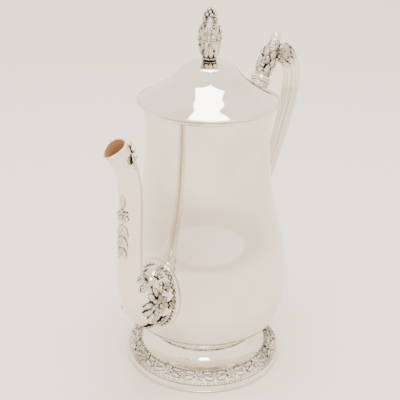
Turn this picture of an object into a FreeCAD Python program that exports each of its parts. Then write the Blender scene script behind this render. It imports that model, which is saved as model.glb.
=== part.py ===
import FreeCAD, Part
import math
import os

# A lidded silver-plated coffee pot, built from its separate pieces.
# Frame: millimetres, +Z up, origin at the centre of the foot on the table,
# the handle towards +X and the spout towards -X.

# ---- Foot ----
FOOT_RADIUS = 67.5            # outside of the base ring
FOOT_HEIGHT = 33.0            # table to the underside of the body
FOOT_NECK_RADIUS = 42.2       # narrowest part of the foot
FOOT_SHEET = 1.0              # spun sheet of the foot
BASE_RING_HEIGHT = 2.0        # flat wire that the foot stands on
BASE_RING_WIDTH = 3.4
BORDER_INNER_SHARE = 0.50     # cast border, as shares of the way from neck to rim
BORDER_OUTER_SHARE = 0.90
BORDER_THICKNESS = 2.2
BORDER_LOBES = 12             # flower sprays round the border
JOINT_WIRE_RADIUS = 1.7       # section of the wire between foot and body

# ---- Body ----
BODY_SHEET = 1.2              # raised sheet of the body
SEAT_RADIUS = 44.5            # flat bottom, soldered to the foot
BELLY_RADIUS = 69.0
BELLY_HEIGHT = 74.0
WAIST_RADIUS = 49.8
WAIST_HEIGHT = 207.0
MOUTH_RADIUS = 52.0
MOUTH_HEIGHT = 228.0
MOUTH_BEAD_HEIGHT = 3.2       # half-round wire that stiffens the mouth
MOUTH_BEAD_WIDTH = 1.3
STRAINER_PITCH = 7.4          # holes through the body wall behind the spout
STRAINER_HOLE_RADIUS = 1.9

# ---- Lid ----
LID_REST_GAP = 0.3            # under the lid's flange, above the mouth
LID_SHEET = 1.0
LID_FLANGE = 0.9              # thickness of the bezel ring under the lid
LID_OVERHANG = 3.4            # lid rim past the mouth of the body
LID_RISE = 31.0               # lid rim to the top of the cap
LID_SHOULDER_RADIUS = 19.6
LID_SHOULDER_RISE = 27.2
BEZEL_DEPTH = 5.8             # skirt that drops into the mouth
BEZEL_CLEARANCE = 0.7         # skirt to the inside of the body
RIM_WIRE_RADIUS = 0.9

# ---- Hinge ----
KNUCKLE_RADIUS = 2.4
HINGE_PIN_RADIUS = 1.1
HINGE_RUNNING_GAP = 0.06      # pin in the lid's knuckle
HINGE_WIDTH = 18.0
LID_KNUCKLE_WIDTH = 6.0
HINGE_SIDE_GAP = 0.3          # between neighbouring knuckles
HINGE_RIM_GAP = 1.2           # knuckle to the lid's rim

# ---- Finial ----
FINIAL_RADIUS = 9.0
FINIAL_HEIGHT = 40.0
FINIAL_COLLAR_RADIUS = 5.6
FINIAL_COLLAR_HEIGHT = 3.0
STUD_RADIUS = 1.8
STUD_DEPTH = 9.0              # stud inside the bud
STUD_BELOW = 7.0              # stud below the top of the lid
NUT_WIDTH = 7.0               # across flats
NUT_HEIGHT = 3.0
WASHER_RADIUS = 5.0
WASHER_THICKNESS = 0.9

# ---- Spout ----
SPOUT_SHEET = 1.1
SPOUT_BASE_HEIGHT = 86.0      # centre of the spout's root on the body
SPOUT_ROOT_HALF_HEIGHT = 27.0
SPOUT_ROOT_HALF_WIDTH = 19.0
SPOUT_STANDOFF = 29.3         # centre of the upright part outside the belly
FLANGE_MARGIN = 3.0           # root plate past the spout
FLANGE_THICKNESS = 1.3
SPRAY_THICKNESS = 2.0         # cast flower sprays on the spout's cheeks

# ---- Handle ----
UPPER_RING_STANDOFF = 23.2    # handle ring centre outside the lid rim
UPPER_RING_RISE = 0.2         # handle ring centre above the body's mouth
UPPER_LEAN = 32.0             # lean of the upper ring's axis, degrees from upright
HANDLE_REACH = 54.5           # upper ring to the outermost part of the grip
HANDLE_SHEET = 1.1
RING_RADIUS = 9.2
RING_THICKNESS = 2.0
INSULATOR_THICKNESS = 2.0
INSULATOR_RADIUS = 8.2
SPIGOT_RADIUS = 4.2
SPIGOT_LENGTH = 7.0
SOCKET_RADIUS = 7.8
UPPER_SOCKET_DROP = 22.0      # socket root below the body's mouth
LOWER_RING_HEIGHT = 108.5
LOWER_RING_STANDOFF = 11.5    # lower ring outside the body
LOWER_RING_RADIUS = 7.4
LOWER_SOCKET_RADIUS = 6.4
LOWER_SPIGOT_RADIUS = 3.4
RIVET_RADIUS = 0.9
KNOB_RADIUS = 4.7

UP = FreeCAD.Vector(0, 0, 1)
ACROSS = FreeCAD.Vector(0, 1, 0)
ORIGIN = FreeCAD.Vector(0, 0, 0)
FAR = 400.0                   # larger than the pot, for cutting blocks
SECTIONS_PER_SPAN = 2         # sections of a bent tube between two stations
OVAL_STEPS = 8                # flats round half of a bent tube


def at(radius, height):
    """A point on the pot's middle plane."""
    return FreeCAD.Vector(radius, 0, height)


def curve_through(points, start=None, end=None):
    """A smooth curve through points, with end directions where they matter."""
    curve = Part.BSplineCurve()
    if start is None:
        curve.interpolate(Points=points)
    else:
        curve.interpolate(Points=points, InitialTangent=start, FinalTangent=end)
    return curve


def beside(curve, distance, top=None, count=24):
    """A curve at a constant distance to the right of another one, ending at top."""
    first, last = curve.FirstParameter, curve.LastParameter
    points = []
    for i in range(count + 1):
        t = first + (last - first) * i / count
        along = curve.tangent(t)[0]
        normal = FreeCAD.Vector(along.z, 0, -along.x)
        points.append(curve.value(t) + normal * distance)
    if top is not None:
        points[-1].z = top
    return curve_through(points)


def spun(edges):
    """Turn a closed outline in the middle plane round the pot's axis."""
    face = Part.Face(Part.Wire(Part.__sortEdges__(edges)))
    return face.revolve(ORIGIN, UP, 360)


def spun_polygon(points):
    """Turn a closed polygon of (radius, height) round the pot's axis."""
    corners = [at(radius, height) for radius, height in points]
    corners.append(corners[0])
    return Part.Face(Part.makePolygon(corners)).revolve(ORIGIN, UP, 360)


def line(start, end):
    return Part.LineSegment(start, end).toShape()


def ring_wire(radius, height, section):
    """A round wire bent into a ring round the pot."""
    return Part.makeTorus(radius, section, at(0, height), UP)


def rod(start, end, radius):
    """A round bar from one point to another."""
    along = end.sub(start)
    return Part.makeCylinder(radius, along.Length, start, along)


def save(name, shape):
    """Write one piece, as plain solids."""
    solids = shape.Solids
    if not solids:
        raise ValueError(name + " has no solid")
    piece = solids[0] if len(solids) == 1 else Part.makeCompound(solids)
    piece.exportStep(os.path.join("parts", name + ".step"))


# ---- Outlines that several pieces share ----

def body_curve():
    """Outside of the body, from its flat bottom up to the mouth."""
    swell = BELLY_RADIUS - SEAT_RADIUS
    rise = BELLY_HEIGHT - FOOT_HEIGHT
    taper = BELLY_RADIUS - WAIST_RADIUS
    flank = WAIST_HEIGHT - BELLY_HEIGHT
    points = [at(SEAT_RADIUS, FOOT_HEIGHT)]
    for out, up in ((0.39, 0.09), (0.67, 0.20), (0.84, 0.43)):
        points.append(at(SEAT_RADIUS + swell * out, FOOT_HEIGHT + rise * up))
    points.append(at(BELLY_RADIUS, BELLY_HEIGHT))
    for left, up in ((0.83, 0.26), (0.46, 0.46), (0.15, 0.66), (0.02, 0.84)):
        points.append(at(WAIST_RADIUS + taper * left, BELLY_HEIGHT + flank * up))
    points.append(at(WAIST_RADIUS, WAIST_HEIGHT))
    points.append(at((2 * WAIST_RADIUS + MOUTH_RADIUS) / 3, (WAIST_HEIGHT + MOUTH_HEIGHT) / 2 + 1))
    points.append(at(MOUTH_RADIUS, MOUTH_HEIGHT))
    return curve_through(points)


BODY_CURVE = body_curve()


def radius_at(curve, height):
    """Radius of a rising outline at one height, found by halving."""
    low, high = curve.FirstParameter, curve.LastParameter
    for _ in range(50):
        middle = (low + high) / 2
        if curve.value(middle).z < height:
            low = middle
        else:
            high = middle
    return curve.value(low).x


def body_blank(grow=0.0):
    """The body as a solid block, or one that stands proud of it by grow."""
    side = BODY_CURVE if grow == 0 else beside(BODY_CURVE, grow)
    bottom, top = side.value(side.FirstParameter), side.value(side.LastParameter)
    edges = [side.toShape(), line(top, at(0, top.z)), line(at(0, top.z), at(0, bottom.z))]
    edges.append(line(at(0, bottom.z), bottom))
    return spun(edges)


def foot_curve():
    """Outside of the foot, from the base ring up to the body."""
    spread = FOOT_RADIUS - FOOT_NECK_RADIUS
    rise = FOOT_HEIGHT - BASE_RING_HEIGHT
    points = []
    for out, up in ((0.985, 0.0), (0.90, 0.13), (0.73, 0.27), (0.46, 0.35), (0.23, 0.42),
                    (0.08, 0.53), (0.0, 0.72), (0.03, 0.90)):
        points.append(at(FOOT_NECK_RADIUS + spread * out, BASE_RING_HEIGHT + rise * up))
    points.append(at(FOOT_NECK_RADIUS + spread * 0.07, FOOT_HEIGHT))
    return curve_through(points)


FOOT_CURVE = foot_curve()


def foot_blank():
    """The foot as a solid block."""
    bottom, top = FOOT_CURVE.value(FOOT_CURVE.FirstParameter), FOOT_CURVE.value(FOOT_CURVE.LastParameter)
    edges = [FOOT_CURVE.toShape(), line(top, at(0, top.z)), line(at(0, top.z), at(0, bottom.z))]
    edges.append(line(at(0, bottom.z), bottom))
    return spun(edges)


LID_FLOOR = MOUTH_HEIGHT + LID_REST_GAP       # underside of the lid's flange
LID_RIM_HEIGHT = LID_FLOOR + LID_FLANGE       # underside of the dome's rim
LID_RIM_RADIUS = MOUTH_RADIUS + LID_OVERHANG
LID_TOP = LID_RIM_HEIGHT + LID_SHEET + LID_RISE


def lid_flank(grow=0.0):
    """Hollow sweep of the lid from its rim up to the shoulder."""
    base = LID_RIM_HEIGHT + LID_SHEET
    span = LID_RIM_RADIUS - LID_SHOULDER_RADIUS
    points = [at(LID_RIM_RADIUS, base)]
    for inward, up in ((0.30, 0.215), (0.60, 0.45), (0.80, 0.68)):
        points.append(at(LID_RIM_RADIUS - span * inward, base + LID_SHOULDER_RISE * up))
    points.append(at(LID_SHOULDER_RADIUS, base + LID_SHOULDER_RISE))
    flank = curve_through(points)
    return flank if grow == 0 else beside(flank, grow)


def lid_cap(start):
    """Shallow crown of the lid, from the shoulder at start to the top."""
    top = at(0, LID_TOP - (LID_RIM_HEIGHT + LID_SHEET + LID_SHOULDER_RISE) + start.z)
    middle = at(start.x * 0.55, start.z + (top.z - start.z) * 0.70)
    return Part.Arc(start, middle, top).toShape(), top


def lid_blank(grow=0.0):
    """The lid's outer form as a solid block."""
    flank = lid_flank(grow)
    rim, shoulder = flank.value(flank.FirstParameter), flank.value(flank.LastParameter)
    cap, top = lid_cap(shoulder)
    foot = at(rim.x, LID_RIM_HEIGHT)
    edges = [flank.toShape(), cap, line(top, at(0, LID_RIM_HEIGHT))]
    edges.append(line(at(0, LID_RIM_HEIGHT), foot))
    edges.append(line(foot, rim))
    return spun(edges)


# ---- Bent tubes, drawn by their inside and outside lines ----

def half_oval(section, side):
    """Points round half of an oval section, from its inside to its outside."""
    inner, outer, width = section
    centre = (inner + outer) * 0.5
    reach = (inner - outer) * 0.5
    points = []
    for i in range(OVAL_STEPS + 1):
        turn = math.pi * i / OVAL_STEPS
        points.append(centre + reach * math.cos(turn) + ACROSS * (side * width * math.sin(turn)))
    return points


def full_section(section):
    """Whole oval outline of a section of (inner, outer, width)."""
    return Part.makePolygon(half_oval(section, 1) + half_oval(section, -1)[-2::-1])


def channel_section(section, sheet):
    """C-shaped outline of a half tube pressed from sheet."""
    near = half_oval(section, 1)
    return Part.makePolygon(near + half_oval(grown(section, -sheet), 1)[::-1] + near[:1])


def grown(section, grow):
    """A section of (inner, outer, width), larger all round by grow."""
    inner, outer, width = section
    reach = (inner - outer).normalize() * grow
    return inner + reach, outer - reach, width + grow


def tube_sections(stations):
    """Sections close enough together to give a smooth bend."""
    count = [float(i) for i in range(len(stations))]
    inner, outer = Part.BSplineCurve(), Part.BSplineCurve()
    inner.interpolate(Points=[station[0] for station in stations], Parameters=count)
    outer.interpolate(Points=[station[1] for station in stations], Parameters=count)
    sections = []
    for i in range((len(stations) - 1) * SECTIONS_PER_SPAN + 1):
        t = i / SECTIONS_PER_SPAN
        span = min(int(t), len(stations) - 2)
        width = stations[span][2] + (stations[span + 1][2] - stations[span][2]) * (t - span)
        sections.append((inner.value(t), outer.value(t), width))
    return sections


def bent_bar(stations, grow=0.0):
    """Solid form of a bent tube."""
    sections = [grown(section, grow) for section in tube_sections(stations)]
    return Part.makeLoft([full_section(section) for section in sections], True, True)


def bent_halves(stations, sheet):
    """The two pressed halves of a bent tube, left one first."""
    wires = [channel_section(section, sheet) for section in tube_sections(stations)]
    left = Part.makeLoft(wires, True, True)
    return left, left.mirror(ORIGIN, ACROSS)


def round_stations(path, stops):
    """Sections of a round tube: (parameter, radius) pairs along its centre line."""
    stations = []
    for t, radius in stops:
        side = path.tangent(t)[0].cross(ACROSS).normalize() * radius
        stations.append((path.value(t) + side, path.value(t) - side, radius))
    return stations


# ---- Foot pieces ----

def make_foot():
    outside = foot_blank()
    inner = beside(FOOT_CURVE, -FOOT_SHEET)
    low, high = inner.value(inner.FirstParameter), inner.value(inner.LastParameter)
    edges = [inner.toShape(), line(high, at(high.x, FOOT_HEIGHT + 1)),
             line(at(high.x, FOOT_HEIGHT + 1), at(0, FOOT_HEIGHT + 1)),
             line(at(0, FOOT_HEIGHT + 1), at(0, 0)), line(at(0, 0), at(low.x, 0)),
             line(at(low.x, 0), low)]
    return outside.cut(spun(edges))


def make_base_ring():
    inside = FOOT_RADIUS - BASE_RING_WIDTH
    corner = BASE_RING_HEIGHT / 2
    points = [(inside, 0), (FOOT_RADIUS - corner / 2, 0), (FOOT_RADIUS, corner / 2)]
    points += [(FOOT_RADIUS, BASE_RING_HEIGHT - corner / 2), (FOOT_RADIUS - corner / 2, BASE_RING_HEIGHT)]
    points += [(inside, BASE_RING_HEIGHT)]
    return spun_polygon(points)


def make_border():
    """Cast ring of flower sprays that lies on the slope of the foot."""
    spread = FOOT_RADIUS - FOOT_NECK_RADIUS
    inner = FOOT_NECK_RADIUS + spread * BORDER_INNER_SHARE
    outer = FOOT_NECK_RADIUS + spread * BORDER_OUTER_SHARE
    inner_z, outer_z = foot_height_at(inner), foot_height_at(outer)
    middle = (inner + outer) / 2
    middle_z = foot_height_at(middle) + BORDER_THICKNESS
    top = Part.Arc(at(inner, inner_z), at(middle, middle_z), at(outer, outer_z)).toShape()
    edges = [top, line(at(outer, outer_z), at(outer, 1)), line(at(outer, 1), at(inner, 1))]
    edges.append(line(at(inner, 1), at(inner, inner_z)))
    border = spun(edges)
    lobe_radius = (outer - inner) * 0.42
    for i in range(BORDER_LOBES):
        turn = 2 * math.pi * i / BORDER_LOBES
        centre = FreeCAD.Vector(middle * math.cos(turn), middle * math.sin(turn), middle_z - 3)
        border = border.fuse(Part.makeSphere(lobe_radius, centre))
    floor = Part.makeCylinder(FOOT_RADIUS, BASE_RING_HEIGHT + 0.01)
    return border.cut(floor).cut(foot_blank())


def foot_height_at(radius):
    """Height of the foot's slope at one radius, found by halving."""
    low, high = FOOT_CURVE.FirstParameter, FOOT_CURVE.LastParameter * 0.7
    for _ in range(50):
        middle = (low + high) / 2
        if FOOT_CURVE.value(middle).x > radius:
            low = middle
        else:
            high = middle
    return FOOT_CURVE.value(low).z


def make_joint_wire():
    height = FOOT_HEIGHT - 1.2 * JOINT_WIRE_RADIUS
    radius = radius_at(FOOT_CURVE, height) + 0.6 * JOINT_WIRE_RADIUS
    return ring_wire(radius, height, JOINT_WIRE_RADIUS).cut(foot_blank()).cut(body_blank())


# ---- Body pieces ----

def strainer_holes():
    """Rings of holes through the wall, inside the root of the spout."""
    wall = BELLY_RADIUS + 10
    holes = []
    for ring in range(3):
        count = 6 * ring if ring else 1
        for i in range(count):
            turn = 2 * math.pi * i / count
            across = ring * STRAINER_PITCH * math.cos(turn)
            height = SPOUT_BASE_HEIGHT + ring * STRAINER_PITCH * math.sin(turn)
            start = FreeCAD.Vector(-wall, across, height)
            holes.append(Part.makeCylinder(STRAINER_HOLE_RADIUS, wall / 2, start, FreeCAD.Vector(1, 0, 0)))
    return holes


def make_body():
    """Raised shell, open at the mouth, with strainer holes behind the spout."""
    inner = beside(BODY_CURVE, -BODY_SHEET, MOUTH_HEIGHT)
    low, high = inner.value(inner.FirstParameter), inner.value(inner.LastParameter)
    bottom, top = BODY_CURVE.value(BODY_CURVE.FirstParameter), BODY_CURVE.value(BODY_CURVE.LastParameter)
    edges = [BODY_CURVE.toShape(), line(top, high), inner.toShape(), line(low, at(0, low.z))]
    edges.append(line(at(0, low.z), at(0, bottom.z)))
    edges.append(line(at(0, bottom.z), bottom))
    return spun(edges).cut(Part.makeCompound(strainer_holes()))


def make_mouth_bead():
    low = MOUTH_HEIGHT - MOUTH_BEAD_HEIGHT
    outer = MOUTH_RADIUS + MOUTH_BEAD_WIDTH
    widest = at(outer, (low + MOUTH_HEIGHT) / 2)
    bow = Part.Arc(at(MOUTH_RADIUS, MOUTH_HEIGHT), widest, at(MOUTH_RADIUS, low))
    inside = MOUTH_RADIUS - BODY_SHEET
    edges = [bow.toShape(), line(at(MOUTH_RADIUS, low), at(inside, low))]
    edges.append(line(at(inside, low), at(inside, MOUTH_HEIGHT)))
    edges.append(line(at(inside, MOUTH_HEIGHT), at(MOUTH_RADIUS, MOUTH_HEIGHT)))
    return spun(edges).cut(body_blank())


# ---- Lid pieces ----

def make_lid_dome():
    hollow = spun_lid_hollow()
    hole = Part.makeCylinder(STUD_RADIUS, 3 * LID_RISE, at(0, LID_FLOOR), UP)
    return lid_blank().cut(hollow).cut(hole)


def spun_lid_hollow():
    """Space under the lid's sheet."""
    flank = lid_flank(-LID_SHEET)
    rim, shoulder = flank.value(flank.FirstParameter), flank.value(flank.LastParameter)
    cap, top = lid_cap(shoulder)
    floor = LID_RIM_HEIGHT - 1
    edges = [flank.toShape(), cap, line(top, at(0, floor)), line(at(0, floor), at(rim.x, floor))]
    edges.append(line(at(rim.x, floor), rim))
    return spun(edges)


def bezel_radius():
    """Outside of the skirt, clear of the inside of the body."""
    lowest = MOUTH_HEIGHT - BEZEL_DEPTH
    return radius_at(BODY_CURVE, lowest) - BODY_SHEET - BEZEL_CLEARANCE


def make_lid_bezel():
    outer = LID_RIM_RADIUS - LID_FLANGE
    skirt = bezel_radius()
    inner = skirt - LID_FLANGE
    low = MOUTH_HEIGHT - BEZEL_DEPTH
    points = [(inner, low), (skirt, low), (skirt, LID_FLOOR), (outer, LID_FLOOR)]
    points += [(outer, LID_RIM_HEIGHT), (inner, LID_RIM_HEIGHT)]
    return spun_polygon(points)


def make_rim_wire():
    height = LID_RIM_HEIGHT + RIM_WIRE_RADIUS / 2
    wire = ring_wire(LID_RIM_RADIUS, height, RIM_WIRE_RADIUS)
    return wire.cut(lid_blank()).cut(make_lid_bezel())


# ---- Hinge ----

HINGE_X = LID_RIM_RADIUS + RIM_WIRE_RADIUS + HINGE_RIM_GAP + KNUCKLE_RADIUS
HINGE_Z = LID_FLOOR + 0.3


def knuckle(low, high, bore):
    start = FreeCAD.Vector(HINGE_X, low, HINGE_Z)
    end = FreeCAD.Vector(HINGE_X, high, HINGE_Z)
    return rod(start, end, KNUCKLE_RADIUS).cut(rod(start, end, bore))


def make_pot_leaf():
    """Gusset on the neck that carries the two outer knuckles."""
    half = HINGE_WIDTH / 2
    inner = LID_KNUCKLE_WIDTH / 2 + HINGE_SIDE_GAP
    below = MOUTH_HEIGHT - 14
    neck = WAIST_RADIUS - 2
    edge = LID_RIM_RADIUS + RIM_WIRE_RADIUS
    outline = [(neck, below), (neck, MOUTH_HEIGHT - 3), (edge, MOUTH_HEIGHT - 1.6), (HINGE_X, HINGE_Z)]
    outline += [(HINGE_X + KNUCKLE_RADIUS * 0.86, HINGE_Z - KNUCKLE_RADIUS / 2), (WAIST_RADIUS + 2, below)]
    corners = [FreeCAD.Vector(x, -half, z) for x, z in outline]
    corners.append(corners[0])
    gusset = Part.Face(Part.makePolygon(corners)).extrude(ACROSS * HINGE_WIDTH)
    gusset = gusset.cut(body_blank()).cut(make_mouth_bead())
    slot_start = FreeCAD.Vector(HINGE_X, -inner, HINGE_Z)
    slot_end = FreeCAD.Vector(HINGE_X, inner, HINGE_Z)
    gusset = gusset.cut(rod(slot_start, slot_end, KNUCKLE_RADIUS + HINGE_SIDE_GAP))
    near_end = FreeCAD.Vector(HINGE_X, -half, HINGE_Z)
    far_end = FreeCAD.Vector(HINGE_X, half, HINGE_Z)
    ends = rod(near_end, far_end, HINGE_PIN_RADIUS)
    leaf = gusset.fuse(knuckle(-half, -inner, HINGE_PIN_RADIUS)).fuse(knuckle(inner, half, HINGE_PIN_RADIUS))
    return leaf.cut(ends)


def make_lid_leaf():
    """Strap on the lid that ends in the middle knuckle."""
    half = LID_KNUCKLE_WIDTH / 2
    length = 10.0
    thickness = 1.2
    cover = lid_blank(thickness).cut(lid_blank())
    edge = LID_RIM_RADIUS + RIM_WIRE_RADIUS
    corner = FreeCAD.Vector(edge - length, -half, LID_RIM_HEIGHT + LID_SHEET)
    strip = Part.makeBox(length, 2 * half, 20, corner)
    strap = cover.common(strip)
    bridge_low = HINGE_Z + HINGE_PIN_RADIUS + 0.4
    bridge = Part.makeBox(HINGE_X - LID_RIM_RADIUS + 1.0, 2 * half, 1.4,
                          FreeCAD.Vector(LID_RIM_RADIUS - 1.0, -half, bridge_low))
    bridge = bridge.cut(lid_blank()).cut(make_rim_wire())
    bore = HINGE_PIN_RADIUS + HINGE_RUNNING_GAP
    leaf = strap.cut(make_rim_wire()).fuse(bridge).fuse(knuckle(-half, half, bore))
    start = FreeCAD.Vector(HINGE_X, -half, HINGE_Z)
    return leaf.cut(rod(start, FreeCAD.Vector(HINGE_X, half, HINGE_Z), bore))


def make_hinge_pin():
    reach = HINGE_WIDTH / 2 + 0.6
    near_end = FreeCAD.Vector(HINGE_X, -reach, HINGE_Z)
    far_end = FreeCAD.Vector(HINGE_X, reach, HINGE_Z)
    return rod(near_end, far_end, HINGE_PIN_RADIUS)


# ---- Finial ----

def make_finial_collar():
    collar = Part.makeTorus(FINIAL_COLLAR_RADIUS - 1.5, 1.5, at(0, LID_TOP + 1.3), UP)
    step = Part.makeCylinder(FINIAL_COLLAR_RADIUS - 1.5, FINIAL_COLLAR_HEIGHT, at(0, LID_TOP - 1), UP)
    collar = collar.fuse(step)
    hole = Part.makeCylinder(STUD_RADIUS, 3 * FINIAL_COLLAR_HEIGHT, at(0, LID_TOP - 3), UP)
    return collar.cut(lid_blank()).cut(hole)


def make_finial_bud():
    """Leafy bud, as its plain outer form with a blind hole for the stud."""
    base = LID_TOP - 1 + FINIAL_COLLAR_HEIGHT
    top = LID_TOP + FINIAL_HEIGHT
    tall = top - base
    shape = [(0.42, 0.0), (0.80, 0.12), (1.0, 0.33), (0.92, 0.58), (0.60, 0.82), (0.30, 0.96)]
    points = [at(FINIAL_RADIUS * out, base + tall * up) for out, up in shape]
    points.append(at(0, top))
    side = curve_through(points)
    edges = [side.toShape(), line(at(0, top), at(0, base)), line(at(0, base), points[0])]
    hole = Part.makeCylinder(STUD_RADIUS, STUD_DEPTH, at(0, base), UP)
    return spun(edges).cut(hole)


def make_stud():
    base = LID_TOP - 1 + FINIAL_COLLAR_HEIGHT
    return rod(at(0, LID_TOP - STUD_BELOW), at(0, base + STUD_DEPTH), STUD_RADIUS)


def make_washer():
    top = LID_TOP - LID_SHEET - 0.5
    disc = Part.makeCylinder(WASHER_RADIUS, WASHER_THICKNESS, at(0, top - WASHER_THICKNESS), UP)
    hole = Part.makeCylinder(STUD_RADIUS, LID_RISE * 2, at(0, LID_FLOOR), UP)
    return disc.cut(hole).cut(make_lid_dome())


def make_nut():
    top = LID_TOP - LID_SHEET - 0.5 - WASHER_THICKNESS
    corner = NUT_WIDTH / math.sqrt(3)
    corners = []
    for i in range(7):
        turn = math.pi / 3 * i
        corners.append(FreeCAD.Vector(corner * math.cos(turn), corner * math.sin(turn), top - NUT_HEIGHT))
    nut = Part.Face(Part.makePolygon(corners)).extrude(UP * NUT_HEIGHT)
    return nut.cut(Part.makeCylinder(STUD_RADIUS, 2 * NUT_HEIGHT, at(0, top - 1.5 * NUT_HEIGHT), UP))


# ---- Spout ----

def spout_stations():
    """Sections of the spout from its root in the body up to its mouth."""
    root = [(-9.0, 28.0, -9.0, -28.0, 20.0), (-1.0, 25.5, 3.0, -26.0, 17.5), (6.0, 24.3, 16.0, -20.5, 14.8),
            (12.0, 25.2, 26.5, -10.5, 12.6), (17.0, 29.0, 34.5, 4.0, 11.0), (19.6, 36.5, 38.2, 21.0, 9.9)]
    stem = [(-9.3, -94.0, 9.5, -98.0, 9.3), (-9.8, -73.7, 8.3, -73.7, 8.9), (-10.9, -49.0, 7.0, -49.2, 8.6),
            (-8.0, -29.0, 9.2, -31.5, 8.3), (-2.3, -14.5, 14.9, -19.8, 8.4), (6.2, -0.8, 24.5, -10.4, 8.8)]
    stations = []
    for near, near_up, far, far_up, width in root:
        inner = at(-(BELLY_RADIUS + near), SPOUT_BASE_HEIGHT + near_up)
        stations.append((inner, at(-(BELLY_RADIUS + far), SPOUT_BASE_HEIGHT + far_up), width))
    upright = BELLY_RADIUS + SPOUT_STANDOFF
    for near, near_up, far, far_up, width in stem:
        inner = at(-(upright + near), MOUTH_HEIGHT + near_up)
        stations.append((inner, at(-(upright + far), MOUTH_HEIGHT + far_up), width))
    return stations


def spout_tube(grow=0.0):
    return bent_bar(spout_stations(), grow)


def make_spout_halves():
    block = body_blank()
    return [largest(half.cut(block)) for half in bent_halves(spout_stations(), SPOUT_SHEET)]


def largest(shape):
    """The main lump, without the stub left inside the body."""
    return max(shape.Solids, key=lambda solid: solid.Volume)


def make_spout_flange():
    """Oval plate round the root of the spout, soldered to the body."""
    skin = body_blank(FLANGE_THICKNESS).cut(body_blank())
    centre = FreeCAD.Vector(0, 0, SPOUT_BASE_HEIGHT)
    tall = SPOUT_ROOT_HALF_HEIGHT + FLANGE_MARGIN
    wide = SPOUT_ROOT_HALF_WIDTH + FLANGE_MARGIN
    edge = Part.Ellipse(centre, tall, wide).toShape()
    edge.rotate(centre, ACROSS, -90)
    plate = Part.Face(Part.Wire(edge)).extrude(FreeCAD.Vector(-2 * BELLY_RADIUS, 0, 0))
    return largest(skin.common(plate).cut(spout_tube()))


def make_spout_sprays():
    """Cast flower sprays on the two cheeks of the spout's root."""
    jacket = spout_tube(SPRAY_THICKNESS).cut(spout_tube())
    jacket = jacket.cut(body_blank(FLANGE_THICKNESS))
    outer = BELLY_RADIUS + SPOUT_STANDOFF * 0.72
    inner = BELLY_RADIUS - 8
    tall = 2 * SPOUT_ROOT_HALF_HEIGHT - 8
    block = Part.makeBox(outer - inner, FAR, tall, FreeCAD.Vector(-outer, 5, SPOUT_BASE_HEIGHT - tall / 2))
    left = largest(jacket.common(block))
    right = left.mirror(ORIGIN, ACROSS)
    return left, right


def make_spout_bud():
    """Small flower on the front ridge of the spout."""
    height = SPOUT_BASE_HEIGHT + (MOUTH_HEIGHT - SPOUT_BASE_HEIGHT) * 0.50
    outer = BELLY_RADIUS + SPOUT_STANDOFF + 9.0
    flower = rod(at(-outer - 1.2, height), at(-outer + 5, height), 4.6)
    leaf = rod(at(-outer - 0.8, height - 4), at(-outer - 0.3, height - 24), 1.8)
    return largest(flower.fuse(leaf).cut(spout_tube()))


def make_spout_tip_beads():
    """Row of beads behind the mouth of the spout."""
    back = spout_stations()[-2][0]
    beads = Part.makeSphere(3.6, back + at(-1.0, 2.0))
    for side in (-1, 1):
        beads = beads.fuse(Part.makeSphere(2.8, back + FreeCAD.Vector(-2.6, side * 4.6, 1.5)))
    return largest(beads.cut(spout_tube()))


# ---- Handle ----

def upper_frame():
    """Centre and axis of the ring at the top of the upper socket."""
    centre = at(LID_RIM_RADIUS + UPPER_RING_STANDOFF, MOUTH_HEIGHT + UPPER_RING_RISE)
    lean = math.radians(UPPER_LEAN)
    return centre, FreeCAD.Vector(math.sin(lean), 0, math.cos(lean))


def lower_frame():
    """Centre and axis of the ring at the lower socket."""
    radius = radius_at(BODY_CURVE, LOWER_RING_HEIGHT) + LOWER_RING_STANDOFF
    return at(radius, LOWER_RING_HEIGHT), FreeCAD.Vector(0.93, 0, 0.36).normalize()


def handle_path():
    """Centre line of the handle and the radius at each of its points."""
    start, start_axis = upper_frame()
    end, end_axis = lower_frame()
    points, radii = [], []
    crown = [(0.0, 0.0, 7.2), (0.092, 8.1, 7.4), (0.231, 15.7, 8.0), (0.444, 19.1, 8.4),
             (0.673, 16.8, 8.3), (0.873, 9.3, 8.2), (1.0, -7.8, 8.2)]
    for out, up, radius in crown:
        points.append(start + at(HANDLE_REACH * out, up))
        radii.append(radius)
    fall = end.sub(points[-1])
    outermost = points[-1]
    for out, down, radius in ((0.009, 0.124, 8.1), (0.133, 0.306, 7.7), (0.356, 0.534, 6.8),
                              (0.553, 0.724, 6.0), (0.76, 0.905, 5.7), (1.0, 1.0, 5.8)):
        points.append(outermost + at(fall.x * out, fall.z * down))
        radii.append(radius)
    return curve_through(points, start_axis, end_axis * -1), points, radii


CROWN_END = 4                 # point of the centre line where the cast crown ends


def handle_run(first, last):
    """Sections of the handle between two points of its centre line."""
    path, points, radii = handle_path()
    return round_stations(path, [(path.parameter(points[i]), radii[i]) for i in range(first, last + 1)])


def make_handle_crown():
    """Leafy casting between the upper ring and the grip, with its crest."""
    tube = bent_bar(handle_run(0, CROWN_END))
    foot = handle_path()[1][2]
    crest_top = knob_centre()
    along = crest_top.sub(foot)
    crest = Part.makeCone(8.6, 4.4, along.Length - KNOB_RADIUS * 0.7, foot, along)
    centre, axis = upper_frame()
    below = Part.makeCylinder(20, 20, centre - axis * 20 + axis * RING_THICKNESS, axis)
    spigot = Part.makeCylinder(SPIGOT_RADIUS, SPIGOT_LENGTH + RING_THICKNESS, centre, axis)
    knob = Part.makeSphere(KNOB_RADIUS, crest_top)
    return largest(tube.fuse(crest).cut(below).cut(spigot).cut(knob).cut(upper_rivet()))


def knob_centre():
    """Centre of the plain knob on the crest of the handle."""
    return upper_frame()[0] + at(22.6, 32.6)


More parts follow.
